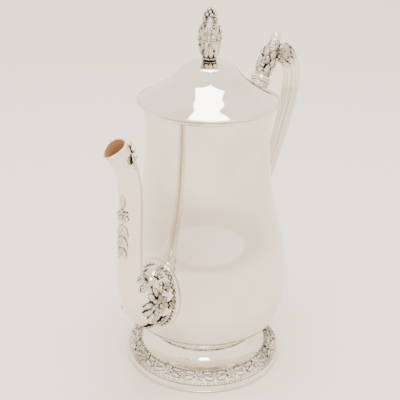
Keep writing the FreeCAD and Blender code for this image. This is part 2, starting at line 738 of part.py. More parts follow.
def make_leaf_band():
    """Leaf collar that covers the seam between crown and grip."""
    _, points, radii = handle_path()
    along = points[CROWN_END + 1].sub(points[CROWN_END]).normalize()
    start = points[CROWN_END] - along * 2.0
    band = Part.makeCylinder(radii[CROWN_END] + 1.5, 8.0, start, along)
    last = len(points) - 1
    crown = bent_bar(handle_run(0, CROWN_END))
    return largest(band.cut(crown).cut(bent_bar(handle_run(CROWN_END, last))))


def make_grip_halves():
    """Hollow grip, stamped as two halves and soldered along the middle."""
    last = len(handle_path()[1]) - 1
    centre, axis = lower_frame()
    beyond = Part.makeCylinder(25, 25, centre - axis * 25 + axis * RING_THICKNESS, axis)
    rivet = lower_rivet()
    halves = bent_halves(handle_run(CROWN_END, last), HANDLE_SHEET)
    return [largest(half.cut(beyond).cut(rivet)) for half in halves]


def make_ring(frame, radius, clear):
    """Round collar at one end of the handle."""
    centre, axis = frame
    ring = Part.makeCylinder(radius, RING_THICKNESS, centre, axis)
    return ring.cut(Part.makeCylinder(clear, 3 * RING_THICKNESS, centre - axis * RING_THICKNESS, axis))


def make_insulator(frame, radius, spigot):
    """Heat-break disc with a spigot into the handle and one into the socket."""
    centre, axis = frame
    low = centre - axis * INSULATOR_THICKNESS
    disc = Part.makeCylinder(radius, INSULATOR_THICKNESS, low, axis)
    length = 2 * SPIGOT_LENGTH + INSULATOR_THICKNESS
    return disc.fuse(Part.makeCylinder(spigot, length, low - axis * SPIGOT_LENGTH, axis))


def rivet_line(frame, offset, reach):
    """Rivet across the spigot, at an offset along the spigot's axis."""
    centre, axis = frame
    middle = centre + axis * offset
    return rod(middle - ACROSS * reach, middle + ACROSS * reach, RIVET_RADIUS)


def upper_rivet():
    return rivet_line(upper_frame(), RING_THICKNESS + 2.4, 7.4)


def lower_rivet():
    return rivet_line(lower_frame(), RING_THICKNESS + 2.4, 5.9)


def upper_socket_rivet():
    return rivet_line(upper_frame(), -INSULATOR_THICKNESS - 3.6, SOCKET_RADIUS + 0.2)


def make_upper_socket():
    """Curved casting from the neck up to the insulator."""
    centre, axis = upper_frame()
    top = centre - axis * INSULATOR_THICKNESS
    root_z = MOUTH_HEIGHT - UPPER_SOCKET_DROP
    root = at(radius_at(BODY_CURVE, root_z) - 4, root_z)
    out = top.x - root.x
    bend = at(root.x + 0.68 * out, root_z + 0.22 * (top.z - root_z))
    path = curve_through([root, bend, top], FreeCAD.Vector(1, 0, 0), axis)
    stops = [(path.parameter(root), 8.6), (path.parameter(bend), 7.6), (path.parameter(top), SOCKET_RADIUS)]
    tube = bent_bar(round_stations(path, stops))
    hole = Part.makeCylinder(SPIGOT_RADIUS, SPIGOT_LENGTH, top - axis * SPIGOT_LENGTH, axis)
    return largest(tube.cut(body_blank()).cut(hole).cut(upper_socket_rivet()))


def make_lower_socket():
    """Short casting from the belly out to the lower insulator."""
    centre, axis = lower_frame()
    top = centre - axis * INSULATOR_THICKNESS
    length = LOWER_RING_STANDOFF + 8
    body = Part.makeCone(LOWER_SOCKET_RADIUS + 2.4, LOWER_SOCKET_RADIUS, length, top - axis * length, axis)
    hole = Part.makeCylinder(LOWER_SPIGOT_RADIUS, SPIGOT_LENGTH, top - axis * SPIGOT_LENGTH, axis)
    return largest(body.cut(body_blank()).cut(hole))


def main():
    os.makedirs("parts", exist_ok=True)
    save("foot_pedestal", make_foot())
    save("foot_base_ring", make_base_ring())
    save("foot_border", make_border())
    save("foot_joint_wire", make_joint_wire())
    save("body_shell", make_body())
    save("mouth_bead", make_mouth_bead())

    save("lid_dome", make_lid_dome())
    save("lid_bezel", make_lid_bezel())
    save("lid_rim_wire", make_rim_wire())
    save("hinge_pot_leaf", make_pot_leaf())
    save("hinge_lid_leaf", make_lid_leaf())
    save("hinge_pin", make_hinge_pin())
    save("finial_collar", make_finial_collar())
    save("finial_bud", make_finial_bud().cut(make_finial_collar()))
    save("finial_stud", make_stud())
    save("finial_washer", make_washer())
    save("finial_nut", make_nut())

    left, right = make_spout_halves()
    save("spout_left_half", left)
    save("spout_right_half", right)
    save("spout_flange", make_spout_flange())
    left_spray, right_spray = make_spout_sprays()
    save("spout_spray_left", left_spray)
    save("spout_spray_right", right_spray)
    save("spout_front_flower", make_spout_bud())
    save("spout_tip_beads", make_spout_tip_beads())

    grip_left, grip_right = make_grip_halves()
    save("handle_grip_left", grip_left)
    save("handle_grip_right", grip_right)
    save("handle_crown", make_handle_crown())
    save("handle_knob", Part.makeSphere(KNOB_RADIUS, knob_centre()))
    save("handle_leaf_band", make_leaf_band())
    save("handle_upper_ring", make_ring(upper_frame(), RING_RADIUS, SPIGOT_RADIUS))
    save("handle_lower_ring", make_ring(lower_frame(), LOWER_RING_RADIUS, LOWER_SPIGOT_RADIUS))
    upper_insulator = make_insulator(upper_frame(), INSULATOR_RADIUS, SPIGOT_RADIUS)
    lower_insulator = make_insulator(lower_frame(), LOWER_SOCKET_RADIUS + 0.4, LOWER_SPIGOT_RADIUS)
    save("handle_upper_insulator", upper_insulator.cut(upper_rivet()).cut(upper_socket_rivet()))
    save("handle_lower_insulator", lower_insulator.cut(lower_rivet()))
    save("handle_upper_socket", make_upper_socket())
    save("handle_lower_socket", make_lower_socket())
    save("handle_upper_rivet", upper_rivet())
    save("handle_lower_rivet", lower_rivet())
    save("handle_socket_rivet", upper_socket_rivet())


main()
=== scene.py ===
import math

import bmesh
import bpy
import numpy as np
from mathutils import Matrix, Vector


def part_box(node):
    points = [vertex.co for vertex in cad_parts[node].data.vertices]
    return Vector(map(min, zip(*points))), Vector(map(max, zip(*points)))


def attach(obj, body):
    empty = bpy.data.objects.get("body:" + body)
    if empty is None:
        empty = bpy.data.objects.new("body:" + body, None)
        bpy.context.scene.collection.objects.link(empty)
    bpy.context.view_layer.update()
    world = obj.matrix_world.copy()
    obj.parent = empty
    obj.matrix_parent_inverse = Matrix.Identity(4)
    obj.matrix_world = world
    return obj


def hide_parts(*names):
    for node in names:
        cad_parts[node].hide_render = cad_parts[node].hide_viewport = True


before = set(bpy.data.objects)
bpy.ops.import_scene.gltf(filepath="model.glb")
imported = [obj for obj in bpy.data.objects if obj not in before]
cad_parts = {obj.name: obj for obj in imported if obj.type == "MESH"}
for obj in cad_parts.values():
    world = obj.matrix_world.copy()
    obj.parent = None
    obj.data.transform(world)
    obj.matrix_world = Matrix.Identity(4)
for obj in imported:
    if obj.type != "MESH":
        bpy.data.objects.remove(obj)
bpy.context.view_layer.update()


# ---- Foot ----
# Spread foot spun from sheet and silver plated, with two small steps under a
# hollow neck. It stands on a flat wire that is soldered round its edge.

def smooth(points, count):
    """Points of a natural cubic spline through points, about evenly spaced."""
    points = np.array(points, float)
    knots = np.concatenate([[0], np.cumsum(np.linalg.norm(np.diff(points, axis=0), axis=1))])
    gaps = np.diff(knots)
    size = len(points)
    matrix = np.eye(size)
    bend = np.zeros_like(points)
    for i in range(1, size - 1):
        matrix[i, i - 1] = gaps[i - 1]
        matrix[i, i] = 2 * (gaps[i - 1] + gaps[i])
        matrix[i, i + 1] = gaps[i]
        after = (points[i + 1] - points[i]) / gaps[i]
        before = (points[i] - points[i - 1]) / gaps[i - 1]
        bend[i] = 6 * (after - before)
    curve = np.linalg.solve(matrix, bend)
    result = []
    for t in np.linspace(0, knots[-1], count):
        i = min(int(np.searchsorted(knots, t, side="right")) - 1, size - 2)
        a, b = knots[i + 1] - t, t - knots[i]
        value = (curve[i] * a ** 3 + curve[i + 1] * b ** 3) / (6 * gaps[i])
        value += (points[i] / gaps[i] - curve[i] * gaps[i] / 6) * a
        value += (points[i + 1] / gaps[i] - curve[i + 1] * gaps[i] / 6) * b
        result.append(value)
    return result


def linear(code):
    """Scene-linear colour of an sRGB hex code."""
    channels = [int(code[i:i + 2], 16) / 255 for i in (1, 3, 5)]
    return [c / 12.92 if c <= 0.04045 else ((c + 0.055) / 1.055) ** 2.4 for c in channels] + [1.0]


def add(tree, kind, inputs=(), **settings):
    """A node of that kind with its settings, constants and links."""
    node = tree.nodes.new(kind)
    for name, value in settings.items():
        setattr(node, name, value)
    for socket, value in dict(inputs).items():
        if isinstance(value, bpy.types.NodeSocket):
            tree.links.new(value, node.inputs[socket])
        else:
            node.inputs[socket].default_value = value
    return node


def metal(name, clean, stained, rough, grain_mm, relief, hollow_shade_and_tarnish="#8E8576", depth_mm=1.0,
          relief_mm=0.2):
    """Polished or cast metal: patchy colour and polish, fine relief, hollows darkened by
    occlusion as painted shade, partly tarnish.
    """
    material = bpy.data.materials.new(name)
    material.use_nodes = True
    tree = material.node_tree
    shader = tree.nodes["Principled BSDF"]
    place = add(tree, "ShaderNodeTexCoord").outputs["Object"]
    cloud_mm = 38
    patches = add(tree, "ShaderNodeTexNoise",
                  {"Vector": place, "Scale": 1000 / cloud_mm, "Detail": 3.0})
    grain = add(tree, "ShaderNodeTexNoise", {"Vector": place, "Scale": 1000 / grain_mm,
                                             "Detail": 2.0})
    stain = add(tree, "ShaderNodeMapRange", {"Value": patches.outputs["Fac"], "From Min": 0.42,
                                             "From Max": 0.74})
    colour = add(tree, "ShaderNodeMix", {0: stain.outputs[0], 6: linear(clean),
                                         7: linear(stained)},
                 data_type="RGBA")
    # Where the occlusion node finds nearby surfaces the colour goes to the hollow colour: painted
    # shade in hollows and creases, partly tarnish.
    shelter = add(tree, "ShaderNodeAmbientOcclusion", {"Distance": depth_mm * 0.001}, samples=6)
    open_share = add(tree, "ShaderNodeMapRange", {"Value": shelter.outputs["AO"], "From Min": 0.4,
                                                  "From Max": 0.95})
    colour = add(tree, "ShaderNodeMix", {0: open_share.outputs[0], 6: linear(hollow_shade_and_tarnish),
                                         7: colour.outputs[2]},
                 data_type="RGBA")
    polish = add(tree, "ShaderNodeMapRange", {"Value": grain.outputs["Fac"], "From Min": 0.3,
                                              "From Max": 0.8,
                                              "To Min": rough * 0.7, "To Max": rough * 1.5})
    bump = add(tree, "ShaderNodeBump", {"Height": grain.outputs["Fac"], "Strength": relief,
                                         "Distance": relief_mm * 0.001})
    tree.links.new(colour.outputs[2], shader.inputs["Base Color"])
    tree.links.new(polish.outputs[0], shader.inputs["Roughness"])
    tree.links.new(bump.outputs["Normal"], shader.inputs["Normal"])
    shader.inputs["Metallic"].default_value = 1.0
    return material


def piece(name, shape, material, body, nodes=()):
    """A finished piece that rides on a body and stands for CAD nodes."""
    mesh = bpy.data.meshes.new(name)
    bmesh.ops.recalc_face_normals(shape, faces=shape.faces)
    shape.to_mesh(mesh)
    shape.free()
    mesh.materials.append(material)
    mesh.shade_smooth()
    made = bpy.data.objects.new(name, mesh)
    bpy.context.scene.collection.objects.link(made)
    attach(made, body)
    if nodes:
        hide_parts(*nodes)
    return made


def skin(rows, shape=None, wrap=False):
    """Faces over rows of points in millimetres, each row a closed ring."""
    shape = shape or bmesh.new()
    rings = [[shape.verts.new(Vector(point) * 0.001) for point in row] for row in rows]
    pairs = list(zip(rings, rings[1:]))
    if wrap:
        pairs.append((rings[-1], rings[0]))
    for low, high in pairs:
        for i in range(len(low)):
            j = (i + 1) % len(low)
            shape.faces.new((low[i], low[j], high[j], high[i]))
    return shape


def turned(outline, shape=None, wrap=True, sides=288):
    """A closed outline of (radius, height) turned round the pot's axis."""
    turns = [2 * math.pi * i / sides for i in range(sides)]
    rows = [[(r * math.cos(t), r * math.sin(t), z) for t in turns] for r, z in outline]
    return skin(rows, shape, wrap)


def wire(radius, height, section, share=1.0, steps=20):
    """Outline of a round wire, or of the outer share of it."""
    turns = [2 * math.pi * i / steps for i in range(steps)]
    return [(radius + section * math.cos(t),
             height + section * share * math.sin(t)) for t in turns]


# Hand-polished silver plate, warm from age, with a faint cloud of tarnish; its creases and joins
# are darkened as painted shade.
polished = metal("polished_silver_plate", "#E8E3DA", "#DDD5C9", 0.05, 6.0, 0.03)

foot_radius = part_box("foot_base_ring")[1].x * 1000
foot_side = smooth([(foot_radius - 0.6, 2.0), (66.3, 3.6), (64.8, 6.1), (60.75, 10.1),
                    (54.0, 12.6), (48.3, 14.5), (45.2, 16.9), (43.2, 19.6), (42.2, 24.3),
                    (42.9, 28.5), (44.0, 32.9)], 110)
foot_inside = [(r - 1.1, z - 0.5) for r, z in foot_side[::-1]]
piece("foot_spun", turned(foot_side + foot_inside), polished, "pot",
      ["foot_pedestal"])

base = [(64.1, 0.05), (66.4, 0.05), (67.0, 0.25), (67.35, 0.6), (67.45, 1.0), (67.3, 1.5),
        (66.8, 1.95), (64.1, 1.95)]
piece("foot_base_wire", turned(base), polished, "pot", ["foot_base_ring"])
piece("foot_solder_wire", turned(wire(45.6, 30.9, 1.7)), polished, "pot",
      ["foot_joint_wire"])


# ---- Border of the foot ----
# Cast ring of roses and leaves between two ragged scroll edges, soldered on
# the slope of the foot. The hollows are painted near-black shade, partly tarnish; the tops are
# rubbed.

def leaf(shape, root, along, up, length, width, rise, curl=0.0, steps=7):
    """A veined leaf that lies on a surface, with a raised middle."""
    along, up = Vector(along).normalized(), Vector(up).normalized()
    side = along.cross(up).normalized()
    rows = []
    for i in range(steps + 1):
        s = i / steps
        scallop = 1 + 0.14 * math.cos(18 * s)
        half = width * 0.5 * (math.sin(math.pi * min(1.0, s * 0.92 + 0.08)) ** 0.7) * scallop
        lift = rise * math.sin(math.pi * (0.15 + 0.8 * s))
        sway = side * (curl * length * s * s)
        middle = Vector(root) + along * (length * s) + sway + up * lift
        edge = Vector(root) + along * (length * (s - 0.05)) + sway + up * (lift * 0.35)
        rows.append([middle, edge + side * half * 0.5 + up * rise * 0.25,
                     edge + side * half - up * 0.4,
                     edge - up * 1.3, edge - side * half - up * 0.4,
                     edge - side * half * 0.5 + up * rise * 0.25])
    skin(rows, shape)


def bead(shape, centre, radius, level=2):
    """A small round bead."""
    place = Matrix.Translation(Vector(centre) * 0.001)
    bmesh.ops.create_icosphere(shape, subdivisions=level, radius=radius * 0.001, matrix=place)


def rose(shape, centre, up, radius, petals=6, turn=0.0, rise=1.0):
    """An open flower: a ring of petals round a button of beads."""
    up = Vector(up).normalized()
    first = up.orthogonal().normalized()
    second = up.cross(first)
    for ring, share in ((0, 1.0), (0.5, 0.66)):
        for k in range(petals):
            angle = turn + 2 * math.pi * (k + ring) / petals
            out = first * math.cos(angle) + second * math.sin(angle)
            root = Vector(centre) + out * radius * 0.12 + up * rise * ring
            leaf(shape, root, out + up * 0.12, up, radius * share, radius * share * 0.9, rise,
                 steps=5)
    bead(shape, Vector(centre) + up * rise * 1.15, radius * 0.26)
    for k in range(6):
        angle = 2 * math.pi * k / 6
        out = first * math.cos(angle) + second * math.sin(angle)
        bead(shape, Vector(centre) + out * radius * 0.3 + up * rise * 1.0, radius * 0.1, 1)


# Cast and silver-plated ornament, satin, with brown-grey tarnish; its hollows are painted
# near-black as shade, partly tarnish.
cast = metal("cast_silver_plate", "#E4DDD0", "#8F8574", 0.09, 1.5, 1.0, "#15130F", 3.0, 1.1)

border = turned([(54.2, 12.2), (56.2, 13.0), (59.6, 12.2), (62.8, 10.2), (65.2, 7.0), (65.4, 5.2),
                 (60, 8), (54.5, 10.6)])
slope = Vector((0.5, 0.0, 0.87))
roses, edge_beads = 14, 84
for i in range(roses):
    spin = Matrix.Rotation(2 * math.pi * i / roses + 0.1, 3, "Z")
    up = spin @ slope
    out = spin @ Vector((0.87, 0.0, -0.5))
    round_way = spin @ Vector((0.0, 1.0, 0.0))
    rose(border, spin @ Vector((59.7, 0, 11.7)), up, 4.7, 6, 0.3 * i, 1.1)
    for way in (-1, 1):
        leaf(border, spin @ Vector((60.6, way * 4.2, 11.4)), round_way * way + out * 0.35, up,
             9.5, 4.4, 1.3, -0.14 * way)
        leaf(border, spin @ Vector((58.0, way * 3.6, 12.4)), round_way * way - out * 0.25, up,
             8.5, 3.8, 1.2, 0.14 * way)
        bead(border, spin @ Vector((59.6, way * 11.6, 11.2)), 1.5)
        bead(border, spin @ Vector((57.1, way * 9.6, 12.5)), 0.9)
for i in range(edge_beads):
    turn = 2 * math.pi * i / edge_beads
    spin = Matrix.Rotation(turn, 3, "Z")
    swell = 0.8 * math.sin(turn * roses)
    bead(border, spin @ Vector((64.6 + swell * 0.4, 0, 7.0 - swell * 0.3)), 1.35)
    bead(border, spin @ Vector((54.6 + swell * 0.6, 0, 12.3)), 1.15)
piece("foot_cast_border", border, cast, "pot", ["foot_border"])


# ---- Body ----
# One raised pear-shaped shell of plated metal, open at the mouth, with a
# half-round wire there. Holes behind the spout strain the drink.

body_side = smooth([(44.5, 33.0), (54.0, 36.8), (60.75, 41.3), (65.1, 50.6), (68.4, 64.0),
                    (69.0, 74.0), (68.4, 87.8), (65.7, 108.0), (58.6, 135.0), (52.65, 162.0),
                    (50.2, 186.0), (49.8, 207.0), (50.6, 219.0), (52.0, 228.0)], 190)
body_inside = [(max(r - 1.2, 0.05), z) for r, z in body_side[::-1] if z > 36.0]
floor_line = [(40.0, 34.6), (20.0, 34.4), (0.05, 34.4), (0.05, 33.0), (20.0, 33.0), (40.0, 33.0)]
shell = piece("body_raised_shell", turned(body_side + body_inside + floor_line), polished, "pot",
              ["body_shell"])

hole_radius = 0.0019
hole_pitch, strainer_height = 7.4, 86.0
drills = bmesh.new()
for ring in range(3):
    for k in range(6 * ring or 1):
        angle = 2 * math.pi * k / (6 * ring or 1)
        across = hole_pitch * ring * math.cos(angle)
        height = strainer_height + hole_pitch * ring * math.sin(angle)
        place = Matrix.Translation(Vector((-68.0, across, height)) * 0.001)
        place = place @ Matrix.Rotation(math.pi / 2, 4, "Y")
        bmesh.ops.create_cone(drills, cap_ends=True, segments=20, radius1=hole_radius,
                              radius2=hole_radius, depth=0.03, matrix=place)
drill_mesh = bpy.data.meshes.new("drills")
drills.to_mesh(drill_mesh)
drills.free()
drill = bpy.data.objects.new("drills", drill_mesh)
bpy.context.scene.collection.objects.link(drill)
cut = shell.modifiers.new("strainer", "BOOLEAN")
cut.operation = "DIFFERENCE"
cut.object = drill
cut_shell = shell.evaluated_get(bpy.context.evaluated_depsgraph_get())
pierced = bpy.data.meshes.new_from_object(cut_shell)
shell.modifiers.clear()
shell.data = pierced
bpy.data.objects.remove(drill)

bow = [(51.6, 224.9), (52.3, 225.0), (52.9, 225.6), (53.25, 226.4), (52.9, 227.3), (52.3, 227.9),
       (51.6, 228.0)]
piece("body_mouth_wire", turned(smooth(bow, 30)), polished, "pot", ["mouth_bead"])


# ---- Lid ----
# Spun lid with a hollow sweep up to a small crown, a plain wire round its rim
# and a skirt under it that drops into the mouth. It opens on the hinge.

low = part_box("lid_dome")[0].z * 1000
lid_side = smooth([(55.2, low + 0.9), (50.0, low + 4.0), (44.5, low + 7.0), (39.2, low + 10.2),
                   (33.75, low + 13.6), (28.35, low + 17.8), (23.6, low + 23.1),
                   (19.9, low + 27.4)], 90)
crown_side = smooth([(19.9, low + 27.4), (18.9, low + 28.3), (16.5, low + 29.3),
                     (10.0, low + 31.0), (0.05, low + 31.9)], 40)
lid_outer = [(55.3, low), (55.3, low + 0.5)] + lid_side + crown_side[1:]
lid_under = [(max(r - 0.6, 0.05), z - 0.9) for r, z in lid_outer[::-1] if z > low + 2.0]
piece("lid_spun_dome", turned(lid_outer + lid_under + [(50.0, low + 0.2)]), polished, "lid",
      ["lid_dome"])
piece("lid_rolled_wire", turned(wire(55.4, low + 0.45, 0.9, steps=16)), polished, "lid",
      ["lid_rim_wire"])
skirt = [(48.1, 222.2), (49.0, 222.2), (49.05, 227.9), (49.6, 228.4), (54.3, 228.4),
         (54.3, 229.1), (48.1, 229.1)]
piece("lid_skirt", turned(skirt), polished, "lid", ["lid_bezel"])


# ---- Finial ----
# Cast bud on a turned collar, held by a screw through the lid. Three rows of
# leaves stand round a core and a cluster of berries closes the top.

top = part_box("finial_bud")[1].z * 1000
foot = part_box("finial_bud")[0].z * 1000
core = smooth([(3.0, foot), (5.2, foot + 3.0), (7.3, foot + 8), (7.9, foot + 13.5),
               (7.2, foot + 20), (5.0, foot + 27), (2.6, foot + 33), (0.05, top - 2.4)], 40)
bud = turned([(0.05, foot)] + core, wrap=False, sides=64)
rows = ((6.0, 1.0, 8, 9.0, 5.4, 0.0, 0.22), (7.3, 6.0, 8, 8.5, 5.6, 0.5, 0.10),
        (7.8, 11.0, 8, 8.5, 5.6, 0.0, 0.0), (7.4, 16.0, 8, 8.0, 5.2, 0.5, -0.14),
        (6.2, 21.0, 7, 7.5, 4.8, 0.0, -0.26), (4.9, 26.0, 6, 6.5, 4.0, 0.5, -0.34))
for row, (radius, rise, count, length, width, shift, lean) in enumerate(rows):
    for k in range(count):
        angle = 2 * math.pi * (k + shift) / count + 0.13 * math.sin(5 * k + row)
        out = Vector((math.cos(angle), math.sin(angle), 0))
        turned_by = 0.5 * math.sin(3.1 * k + 1.7 * row)
        along = Vector((0, 0, 1)) + out * lean + out.cross(Vector((0, 0, 1))) * turned_by
        root = out * (radius - 0.5) + Vector((0, 0, foot + rise))
        leaf(bud, root, along, out, length, width, 1.6, 0.2 * turned_by)
        bead(bud, root + along.normalized() * length * 0.95 + out * 0.9,
             0.9 + 0.25 * math.sin(7 * k), 1)
        if (k + row) % 2:
            rose(bud, root + out * 0.8 + Vector((0, 0, 3.2)), out, 2.5, 5, 0.4 * k, 0.7)
for ring, (radius, rise, count) in enumerate(((4.3, 5.6, 8), (3.2, 3.9, 6), (1.8, 2.3, 4),
                                              (0.0, 1.5, 1))):
    for k in range(count):
        angle = 2 * math.pi * (k + ring * 0.5) / count
        bead(bud, (radius * math.cos(angle), radius * math.sin(angle), top - rise), 1.4)
piece("finial_cast_bud", bud, cast, "lid", ["finial_bud"])

ring_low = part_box("finial_collar")[0].z * 1000
collar = turned([(2.0, ring_low + 3.0), (2.0, ring_low + 0.1), (5.0, ring_low + 0.1),
                 (5.4, ring_low + 0.8), (4.9, ring_low + 1.6), (3.6, ring_low + 2.3),
                 (3.6, ring_low + 3.0)], sides=96)
for k in range(16):
    angle = 2 * math.pi * k / 16
    bead(collar, (4.7 * math.cos(angle), 4.7 * math.sin(angle), ring_low + 1.2), 1.05)
piece("finial_beaded_collar", collar, cast, "lid", ["finial_collar"])


# ---- Spout ----
# Two pressed halves soldered into a swan-neck tube, wide at the root and
# drawn out to a beak. Its inside shows warm where the plate is thin.

def swept(stations, count):
    """Dense sections of a bent oval tube: inside line, outside line, width."""
    dense = np.array(smooth([list(near) + list(far) + [wide] for near, far, wide in stations],
                            count))
    return [(row[0:2], row[2:4], row[4]) for row in dense]


def oval_point(section, angle, grow=0.0, beak=0.0):
    """A point on an oval section, from its inside line; a beak narrows the far side."""
    near, far, wide = section
    middle, reach = (near + far) / 2, (near - far) / 2
    size = np.linalg.norm(reach)
    place = middle + reach / size * (size + grow) * math.cos(angle)
    across = (wide + grow) * math.sin(angle) * (1 - beak * (1 - math.cos(angle)) / 2)
    return Vector((place[0], across, place[1]))


def oval_ring(section, grow=0.0, sides=96, beak=0.0):
    """The whole outline of an oval section."""
    return [oval_point(section, 2 * math.pi * i / sides, grow, beak) for i in range(sides)]


spout = swept([((-60, 114), (-60, 58), 19.5), ((-68, 111.5), (-72, 60), 17.5),
               ((-75, 110.3), (-85, 65.5), 14.8), ((-81, 111.2), (-95.5, 75.5), 12.6),
               ((-86, 115), (-103.5, 90), 11.0), ((-88.6, 122.5), (-107.2, 107), 9.9),
               ((-89, 134), (-107.8, 130), 9.3), ((-88.5, 154.3), (-106.6, 154.3), 8.9),
               ((-87.4, 179), (-105.3, 178.8), 8.6), ((-90.3, 199), (-107.5, 196.5), 8.3),
               ((-96, 213.5), (-113.2, 208.2), 8.4), ((-104.3, 227.0), (-122.4, 217.8), 8.8)],
              220)
# The last part of the tube narrows underneath, so that the lip ends in a beak.
beak_start, beak_depth, spout_sides = 185, 0.45, 96
beaks = [beak_depth * max(0.0, (i - beak_start) / (len(spout) - 1 - beak_start)) ** 1.5
         for i in range(len(spout))]
outer_rows = [oval_ring(section, 0.0, spout_sides, beak) for section, beak in zip(spout, beaks)]
inner_rows = [oval_ring(section, -1.0, spout_sides, beak)
              for section, beak in zip(spout[::-1], beaks[::-1])]
tube = skin(outer_rows + inner_rows)
# Thin plate over brass inside the spout, worn to a warm tan.
tan = metal("worn_plate_over_brass", "#C8A176", "#A37C52", 0.5, 2.0, 0.2)
tan.node_tree.nodes["Principled BSDF"].inputs["Metallic"].default_value = 0.25
spout_tube = piece("spout_soldered_tube", tube, polished, "pot",
                   ["spout_left_half", "spout_right_half"])
spout_tube.data.materials.append(tan)
for face in spout_tube.data.polygons[spout_sides * len(outer_rows):]:
    face.material_index = 1


# ---- Castings on the spout ----
# Rose sprays on both cheeks of the root, a flower with a hanging leaf on the
# front ridge and berries behind the mouth, cast and soldered on.

def on_spout(share, angle, grow=0.0):
    """A point of the spout's surface and the way out of it."""
    section = spout[int(round(share * (len(spout) - 1)))]
    place = oval_point(section, angle, grow)
    return place, (oval_point(section, angle, grow + 2.0) - place).normalized()


for side, word in ((1, "left"), (-1, "right")):
    spray = bmesh.new()
    centre, up = Vector((-82.0, side * 14.2, 89.0)), Vector((-0.28, side * 0.95, 0.05))
    rose(spray, centre, up, 8.2, 7, 0.2, 2.0)
    for k in range(11):
        angle = 2 * math.pi * k / 11
        out = Vector((math.cos(angle) * 0.95, 0, math.sin(angle)))
        start = centre + out * 7.0 - Vector((0, side * 1.2, 0))
        leaf(spray, start, out + Vector((0, -side * 0.22, 0)), up, 9.5, 6.4, 1.9,
             0.12 * (-1) ** k)
        if out.x > -0.3:
            bead(spray, start + out * 8.6 - Vector((0, side * 1.9, 0)), 1.5)
    for share, angle, size in ((0.10, 0.45, 4.2), (0.08, 0.95, 4.6), (0.06, 1.6, 4.6),
                               (0.09, 2.2, 4.6), (0.13, 2.7, 4.2), (0.30, 1.5, 4.0),
                               (0.36, 1.6, 3.2)):
        place, up = on_spout(share, angle * side, -0.2)
        rose(spray, place, up, size, 5, share * 20, 1.2)
    for k in range(16):
        place, up = on_spout(0.045, side * (0.25 + 0.17 * k), 0.3)
        bead(spray, place, 1.6)
    piece("spout_cast_spray_" + word, spray, cast, "pot", ["spout_spray_" + word])

front = bmesh.new()
place, up = on_spout(0.66, math.pi, -0.4)
rose(front, place, up, 5.4, 6, 0.4, 1.3)
for share, size in ((0.62, 13.0), (0.57, 12.0), (0.52, 10.0)):
    place, up = on_spout(share, math.pi, 0.0)
    for side in (-1, 1):
        leaf(front, place, Vector((0.02, side * 0.5, -1)), up, size, 5.4, 1.3, -0.12 * side)
place, up = on_spout(0.70, math.pi, 0.0)
leaf(front, place, Vector((0, 0, 1)), up, 11.0, 5.0, 1.3)
piece("spout_cast_front_flower", front, cast, "pot", ["spout_front_flower"])

berries = bmesh.new()
for share, angle, size in ((0.955, 0.0, 3.0), (0.945, 0.55, 2.3), (0.945, -0.55, 2.3),
                           (0.925, 0.0, 2.4), (0.93, 1.05, 2.0), (0.93, -1.05, 2.0),
                           (0.90, 0.35, 2.0), (0.90, -0.35, 2.0)):
    place, up = on_spout(share, angle, 0.55 * size)
    bead(berries, place, size)
for side in (-1, 1):
    place, up = on_spout(0.94, 0.9 * side, -0.2)
    leaf(berries, place, Vector((-0.3, side * 0.5, -0.8)), up, 12.0, 6.0, 1.4)
place, up = on_spout(0.90, 0.0, 0.0)
leaf(berries, place, Vector((0.25, 0, -1)), up, 13.0, 6.0, 1.4)
piece("spout_cast_berries", berries, cast, "pot", ["spout_tip_beads"])


# ---- Handle ----
# Hollow fluted grip pressed in two halves, with a leafy cast crown and a
# plain knob over it. Discs at both ends keep the heat of the pot out of it.

def round_stations(points):
    """Sections of a bent round bar from (x, z, radius) points."""
    dense = smooth(points, 12 * len(points))
    stations = []
    for i, (x, z, radius) in enumerate(dense):
        before, after = dense[max(i - 1, 0)], dense[min(i + 1, len(dense) - 1)]
        along = np.array([after[0] - before[0], after[1] - before[1]])
        along = along / np.linalg.norm(along)
        across = np.array([-along[1], along[0]])
        middle = np.array([x, z])
        stations.append((middle + across * radius, middle - across * radius, radius))
    return stations


def fluted(stations, ridges, depth, sides=144):
    """Sections of a bar with rounded ridges along it."""
    rows = []
    for section in stations:
        ring = []
        for i in range(sides):
            angle = 2 * math.pi * i / sides
            groove = depth * section[2] * (1 - abs(math.cos(ridges * angle / 2)))
            ring.append(oval_point(section, angle, -groove))
        rows.append(ring)
    return rows


line = [(78.6, 228.2, 7.2), (83.6, 236.3, 7.4), (91.2, 243.9, 8.0), (102.8, 247.3, 8.3),
        (115.3, 245.0, 8.2), (126.2, 237.5, 8.1), (133.1, 220.4, 8.1), (132.6, 206.5, 8.0),
        (125.5, 186.2, 7.6), (112.8, 160.6, 6.8), (101.5, 139.4, 6.1), (91.0, 119.0, 5.7),
        (84.5, 112.0, 5.7), (79.3, 109.4, 5.8)]
whole = round_stations(line)
split = next(i for i, row in enumerate(whole) if (row[0][0] + row[1][0]) / 2 > 117.0)
grip = skin(fluted(whole[split:], 8, 0.16))
bmesh.ops.holes_fill(grip, edges=grip.edges)
piece("handle_fluted_grip", grip, polished, "pot",
      ["handle_grip_left", "handle_grip_right"])

